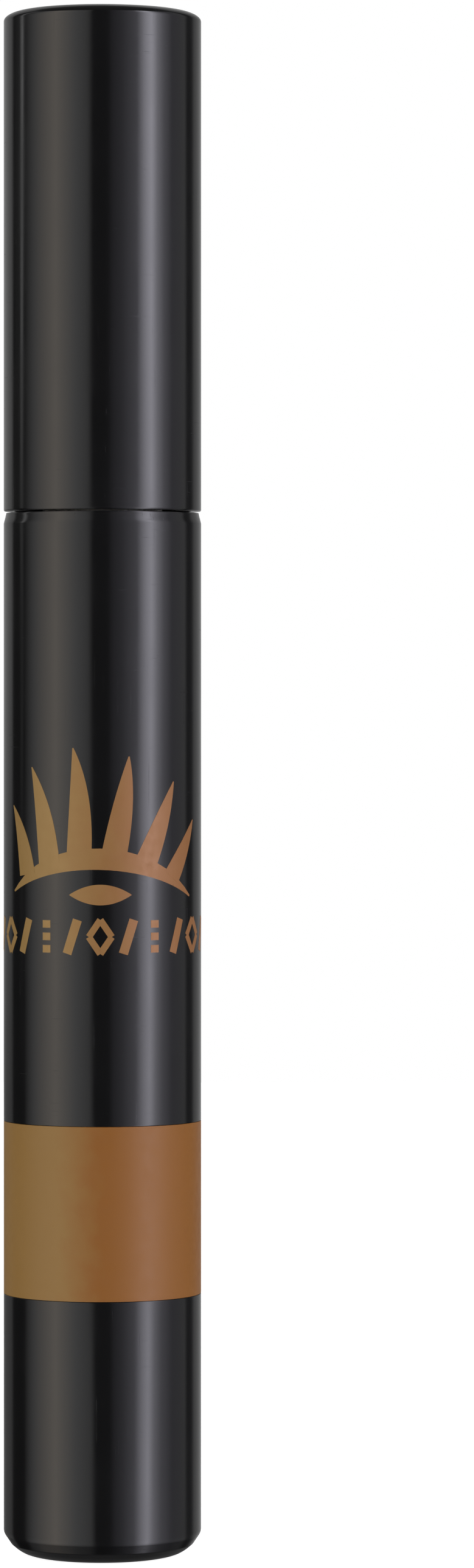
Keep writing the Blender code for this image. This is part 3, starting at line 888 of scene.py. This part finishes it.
def paste_radius(angle, along, length):
    """Radius of the paste on the brush at a distance from its tip."""
    share = along / length
    outer = taper(share)
    phase = along / RIDGE_STEP + angle / math.pi
    x, y = math.cos(angle), math.sin(angle)
    packed = 0.5 - 0.5 * math.cos(angle - 0.5)
    core = outer * (0.45 + 0.26 * packed) + 0.12 * smooth_noise(1.6 * x, 1.6 * y, along * 0.8)
    core = max(core, 1.05)
    height = ridge_profile(phase + 0.10 * smooth_noise(2 * x, 2 * y, along * 0.5), share)
    height *= 0.88 + 0.20 * smooth_noise(2.4 * x + 9, 2.4 * y, along * 1.1)
    smooth_tip = soft_step(share, 0.03, 0.16)
    height = height * smooth_tip + 0.85 * (1.0 - smooth_tip)
    r = core + (outer * 0.97 - core) * height
    lump = 0.13 * smooth_noise(3.0 * x + 3, 3.0 * y, along * 1.7)
    lump += 0.06 * smooth_noise(7.0 * x + 5, 7.0 * y, along * 3.6)
    grit = 0.045 * smooth_noise(15 * x, 15 * y, along * 7.0) * soft_step(height, 0.45, 0.8) * smooth_tip
    return min(r + lump + grit, outer + 0.02)


def brush_paste():
    """The paste on the brush, from a horned tip to the rod, as a stack of rings."""
    length = BRUSH_HIGH.z - BRUSH_LOW.z
    rings = []
    for shrink, sink in ((0.12, 0.22), (0.45, 0.20), (0.72, 0.12), (0.90, 0.03)):
        ring = []
        for k in range(BRUSH_COLUMNS):
            angle = math.tau * k / BRUSH_COLUMNS
            horn = abs(math.cos(angle)) ** 10 * HORN * shrink**6
            r = paste_radius(angle, 0.0, length) * shrink
            ring.append(around(r, angle, BRUSH_LOW.z + sink - horn))
        rings.append(ring)
    for i in range(BRUSH_ROWS + 1):
        along = length * i / BRUSH_ROWS
        fade = max(0.0, 1.0 - along / 0.9) ** 2
        ring = []
        for k in range(BRUSH_COLUMNS):
            angle = math.tau * k / BRUSH_COLUMNS
            horn = abs(math.cos(angle)) ** 10 * HORN * fade
            r = paste_radius(angle, along, length) + 0.12 * horn
            ring.append(around(r, angle, BRUSH_LOW.z + along - horn))
        rings.append(ring)
    shape = bmesh.new()
    skin_into(shape, rings)
    mesh = finish_mesh(shape, "brush_paste", 75)
    add_piece("brush_paste", mesh, PASTE, "cap", ["bristles"])


def bristle_into(shape, base, tip, thick):
    """Adds one fibre: a four-sided rod with a blunt, slightly thinner end."""
    along = (tip - base).normalized()
    side = along.orthogonal().normalized()
    other = along.cross(side)
    rings = []
    for share, scale in ((0.0, 1.0), (0.96, 0.95), (1.0, 0.55)):
        centre = base + (tip - base) * share
        r = thick * scale
        rings.append([centre + side * r, centre + other * r, centre - side * r, centre - other * r])
    skin_into(shape, rings)


def bristles():
    """Fibre ends that stand out of the paste along the edge of each ridge that faces the rod."""
    length = BRUSH_HIGH.z - BRUSH_LOW.z
    shape = bmesh.new()
    for _ in range(BRISTLE_COUNT):
        along = length - 0.12 - (length - 1.2) * math.sqrt(random.random()) ** 1.6
        phase = random.choice((0, 1)) + random.triangular(0.56, 0.97, 0.84)
        angle = (phase - along / RIDGE_STEP) * math.pi
        share = along / length
        reach = taper(share) * random.uniform(0.93, 1.0) + 0.03
        lean = math.radians(random.gauss(0.0, 2.5))
        swing = math.radians(random.gauss(0.0, 2.0))
        base = Vector(around(1.0, angle, BRUSH_LOW.z + along))
        outward = Vector(around(1.0, angle + swing, math.tan(lean))).normalized()
        tip = base + outward * (reach - 1.0)
        bristle_into(shape, base, tip, random.uniform(0.055, 0.095))
    add_piece("bristle_ends", finish_mesh(shape, "bristle_ends", 60), BRISTLE, "cap")


def rod():
    """The round rod, with the hole that holds the wire in its lower end."""
    edge = ROD_ROUND
    outline = [(0.0, ROD_HIGH.z)] + arc(ROD_R - edge, ROD_HIGH.z - edge, edge, 90, 0, 5)
    outline += arc(ROD_R - edge, ROD_LOW.z + edge, edge, 0, -90, 5)
    outline += [(WIRE_HOLE_R, ROD_LOW.z), (WIRE_HOLE_R, ROD_LOW.z + WIRE_HOLE_DEPTH)]
    outline += [(0.0, ROD_LOW.z + WIRE_HOLE_DEPTH)]
    mesh = lathe("applicator_rod", outline, closed=False)
    add_piece("applicator_rod", mesh, SATIN_BLACK, "stem", ["rod"])


def brush_wire():
    """Two round strands twisted together, left-handed."""
    steps = round((WIRE_HIGH.z - WIRE_LOW.z) / BRUSH_LEAD * STRAND_STEPS)
    shape = bmesh.new()
    for start in (0.0, math.pi):
        rings = []
        for i in range(steps + 1):
            z = WIRE_LOW.z + (WIRE_HIGH.z - WIRE_LOW.z) * i / steps
            turn = start - math.tau * (z - WIRE_LOW.z) / BRUSH_LEAD
            centre = Vector(around(STRAND_R, turn, z))
            climb = BRUSH_LEAD / (math.tau * STRAND_R)
            pitch = Vector((math.sin(turn), -math.cos(turn), climb)).normalized()
            out = Vector((math.cos(turn), math.sin(turn), 0.0))
            across = pitch.cross(out)
            ring = []
            for k in range(STRAND_SIDES):
                angle = math.tau * k / STRAND_SIDES
                offset = (out * math.cos(angle) + across * math.sin(angle)) * STRAND_R
                ring.append(tuple(centre + offset))
            rings.append(ring)
        skin_into(shape, rings)
    mesh = finish_mesh(shape, "twisted_wire", 60)
    add_piece("twisted_wire", mesh, STEEL, "cap", ["brush_wire"])


outer_case()
colour_band()
cap_shell()
lash_fan()
mark_row()
inner_bottle()
wiper()
coating("paste_on_wiper", resample(wiper_bore(), 0.18), "tube", wiper_cover, 0.095)
paste_fill()
inner_cap()
seal_ring()
rod()
rod_line = [(ROD_R - 0.45, ROD_LOW.z), (ROD_R - 0.15, ROD_LOW.z + 0.05), (ROD_R, ROD_LOW.z + 0.3)]
rod_line += [(ROD_R, ROD_LOW.z + SMEAR_LENGTH)]
coating("paste_on_rod", resample(rod_line, 0.08), "stem", rod_cover, 0.11, side=-1.0)
brush_wire()
brush_paste()
bristles()


# ---------------------------------------------------------------- studio

# Floor, lamp and world, in metres and watts
FLOOR_R = 0.60
FLOOR_GREY = 0.50
FLOOR_GLOW = 0.93
LAMP_SIZE = 0.9
LAMP_Z = 1.1
LAMP_POWER = 4.0
WORLD_DIM = 0.10


def white_floor():
    """A pale disc that glows to white. Gloss doesn't mirror it, so that the foot mirrors the tent."""
    shape = bmesh.new()
    bmesh.ops.create_circle(shape, cap_ends=True, segments=96, radius=FLOOR_R)
    mesh = bpy.data.meshes.new("studio_floor")
    shape.to_mesh(mesh)
    shape.free()
    floor = bpy.data.objects.new("studio_floor", mesh)
    bpy.context.scene.collection.objects.link(floor)
    floor.location.z = -0.02 * MM
    look, _, _, shader = new_look("studio_floor_white")
    shader.inputs["Base Color"].default_value = (FLOOR_GREY, FLOOR_GREY, FLOOR_GREY, 1.0)
    shader.inputs["Roughness"].default_value = 0.9
    shader.inputs["Emission Color"].default_value = (1.0, 1.0, 1.0, 1.0)
    shader.inputs["Emission Strength"].default_value = FLOOR_GLOW
    floor.data.materials.append(look)
    floor.visible_glossy = False


WHITE = (1.00, 1.00, 1.00)
WARM = (1.00, 0.91, 0.81)
COOL = (0.93, 0.91, 1.02)

# Directions of the soft light around the tube, in degrees from the camera towards +X, with its
# brightness (at the foot, middle and top if it varies), its lean at the foot and its tint
LIGHT_STOPS = (
    (-180, (0.20, 0.36, 0.36), 0, WHITE),
    (-150, (0.15, 0.38, 0.40), 0, WHITE),
    (-131, (0.20, 0.38, 0.38), 0, WHITE),
    (-125, (0.03, 0.04, 0.04), 0, WHITE),
    (-111, (0.03, 0.04, 0.14), 0, WHITE),
    (-106, (0.04, 0.20, 1.25), 0, WHITE),
    (-102, (0.04, 0.06, 0.16), 0, WHITE),
    (-98, (0.20,), 0, WHITE),
    (-85, (0.70,), 0, WHITE),
    (-55, (2.00,), 0, WARM),
    (-30, (1.03,), 0, WHITE),
    (-15.5, (0.66,), 4, WHITE),
    (-10, (0.06,), 4, WHITE),
    (7, (0.07,), 3, WHITE),
    (14, (0.31,), 2, COOL),
    (23, (0.46,), 0, COOL),
    (42, (1.15,), -4, COOL),
    (52, (3.40, 4.00, 4.50), -5, COOL),
    (60, (4.90, 5.60, 6.50), -5.5, COOL),
    (68, (2.40, 3.00, 3.00), -6, COOL),
    (77, (1.15, 1.35, 1.40), -5, COOL),
    (89, (0.46, 0.52, 0.52), 0, COOL),
    (112, (0.36, 0.42, 0.42), 0, WHITE),
    (118, (0.07,), 0, WHITE),
    (128, (0.07,), 0, WHITE),
    (136, (0.30,), 0, WHITE),
    (180, (0.46,), 0, WHITE),
)
TENT_R = 0.60
TENT_DEPTH = 1.20
# Least gap between rows of the foot, in metres per degree of tilt
TENT_ROW_GAP = 0.0002
# Rows of the tent: height in metres, share of the lean, and which of a stop's brightnesses is used
TENT_ROWS = ((-0.084, 1.0, 0), (0.0, 0.45, 0), (0.085, 0.0, 1), (0.18, 0.0, 2), (0.75, 0.0, 2))
# Rows below the table, seen in the rounded foot: tilt of the face that mirrors them, in
# degrees, and their share of the light
FOOT_ROWS = ((37.0, 0.03), (34.0, 0.22), (27.0, 0.60), (18.0, 0.95), (8.0, 1.0))
# Degrees by which the camera looks down on the foot
EYE_DROP = 8.0


def foot_mirror(angle_deg, tilt_deg):
    """Where a face tilted down mirrors what the tube's upright wall mirrors at the angle."""
    turn = math.radians(angle_deg / 2)
    tilt = math.radians(tilt_deg)
    drop = math.radians(EYE_DROP)
    sight = Vector((0.0, math.cos(drop), -math.sin(drop)))
    face = Vector((math.cos(tilt) * math.sin(turn), -math.cos(tilt) * math.cos(turn), -math.sin(tilt)))
    ray = sight - face * (2 * sight.dot(face))
    reach = min(TENT_R / math.hypot(ray.x, ray.y), TENT_DEPTH / -ray.z)
    spot = ray * reach
    lowest = TENT_ROWS[0][0]
    spot.z = min(spot.z, lowest - TENT_ROW_GAP * tilt_deg)
    return spot


def light_tent():
    """A soft light tent around the tube. It lights and is mirrored, and the camera looks through it."""
    shape = bmesh.new()
    colour = shape.loops.layers.float_color.new("Light")
    columns = []
    for angle_deg, powers, lean, tint in LIGHT_STOPS:
        column = []
        for tilt, share in FOOT_ROWS:
            vert = shape.verts.new(foot_mirror(angle_deg + lean, tilt))
            column.append((vert, (*[powers[0] * share * t for t in tint], 1.0)))
        for z, lean_share, zone in TENT_ROWS:
            angle = math.radians(angle_deg + lean * lean_share)
            vert = shape.verts.new((TENT_R * math.sin(angle), -TENT_R * math.cos(angle), z))
            power = powers[min(zone, len(powers) - 1)]
            column.append((vert, (*[power * t for t in tint], 1.0)))
        columns.append(column)
    for left, right in zip(columns, columns[1:]):
        for i in range(len(left) - 1):
            corners = (left[i], right[i], right[i + 1], left[i + 1])
            face = shape.faces.new([vert for vert, _ in corners])
            for loop, (_, light) in zip(face.loops, corners):
                loop[colour] = light
    mesh = bpy.data.meshes.new("light_tent")
    shape.to_mesh(mesh)
    shape.free()
    tent = bpy.data.objects.new("light_tent", mesh)
    bpy.context.scene.collection.objects.link(tent)
    look = bpy.data.materials.new("light_tent_glow")
    look.use_nodes = True
    nodes, links = look.node_tree.nodes, look.node_tree.links
    nodes.clear()
    stops = nodes.new("ShaderNodeVertexColor")
    stops.layer_name = "Light"
    glow = nodes.new("ShaderNodeEmission")
    output = nodes.new("ShaderNodeOutputMaterial")
    links.new(stops.outputs["Color"], glow.inputs["Color"])
    links.new(glow.outputs["Emission"], output.inputs["Surface"])
    tent.data.materials.append(look)
    tent.visible_camera = False
    tent.visible_shadow = False


def top_light():
    """A weak, wide lamp overhead that no gloss mirrors."""
    lamp = bpy.data.lights.new("top_softbox", "AREA")
    lamp.shape = "DISK"
    lamp.size = LAMP_SIZE
    lamp.energy = LAMP_POWER
    holder = bpy.data.objects.new("top_softbox", lamp)
    holder.location = (0.0, 0.0, LAMP_Z)
    holder.visible_camera = False
    holder.visible_glossy = False
    bpy.context.scene.collection.objects.link(holder)


def white_world():
    """White to the camera, dim to everything else, so that gloss mirrors the tent alone."""
    world = bpy.data.worlds.new("studio_world")
    bpy.context.scene.world = world
    world.use_nodes = True
    nodes, links = world.node_tree.nodes, world.node_tree.links
    seen = nodes.new("ShaderNodeLightPath")
    mix = nodes.new("ShaderNodeMixShader")
    dim = nodes["Background"]
    dim.inputs["Color"].default_value = (1.0, 1.0, 1.0, 1.0)
    dim.inputs["Strength"].default_value = WORLD_DIM
    white = nodes.new("ShaderNodeBackground")
    white.inputs["Color"].default_value = (1.0, 1.0, 1.0, 1.0)
    white.inputs["Strength"].default_value = 1.0
    links.new(seen.outputs["Is Camera Ray"], mix.inputs["Fac"])
    links.new(dim.outputs["Background"], mix.inputs[1])
    links.new(white.outputs["Background"], mix.inputs[2])
    links.new(mix.outputs["Shader"], nodes["World Output"].inputs["Surface"])


white_floor()
light_tent()
top_light()
white_world()


# ---------------------------------------------------------------- camera

CAMERA_X = 11.25
CAMERA_Y = -520.0
CAMERA_Z = 73.47
LENS = 142.8
SHIFT_Y = -0.0700

camera_data = bpy.data.cameras.new("camera")
camera_data.lens = LENS
camera_data.shift_y = SHIFT_Y
camera_data.clip_start = 0.01
camera_data.clip_end = 50.0
camera = bpy.data.objects.new("camera", camera_data)
camera.location = Vector((CAMERA_X, CAMERA_Y, CAMERA_Z)) * MM
camera.rotation_euler = (math.pi / 2, 0.0, 0.0)
bpy.context.scene.collection.objects.link(camera)
bpy.context.scene.camera = camera
bpy.context.scene.view_settings.view_transform = "Standard"
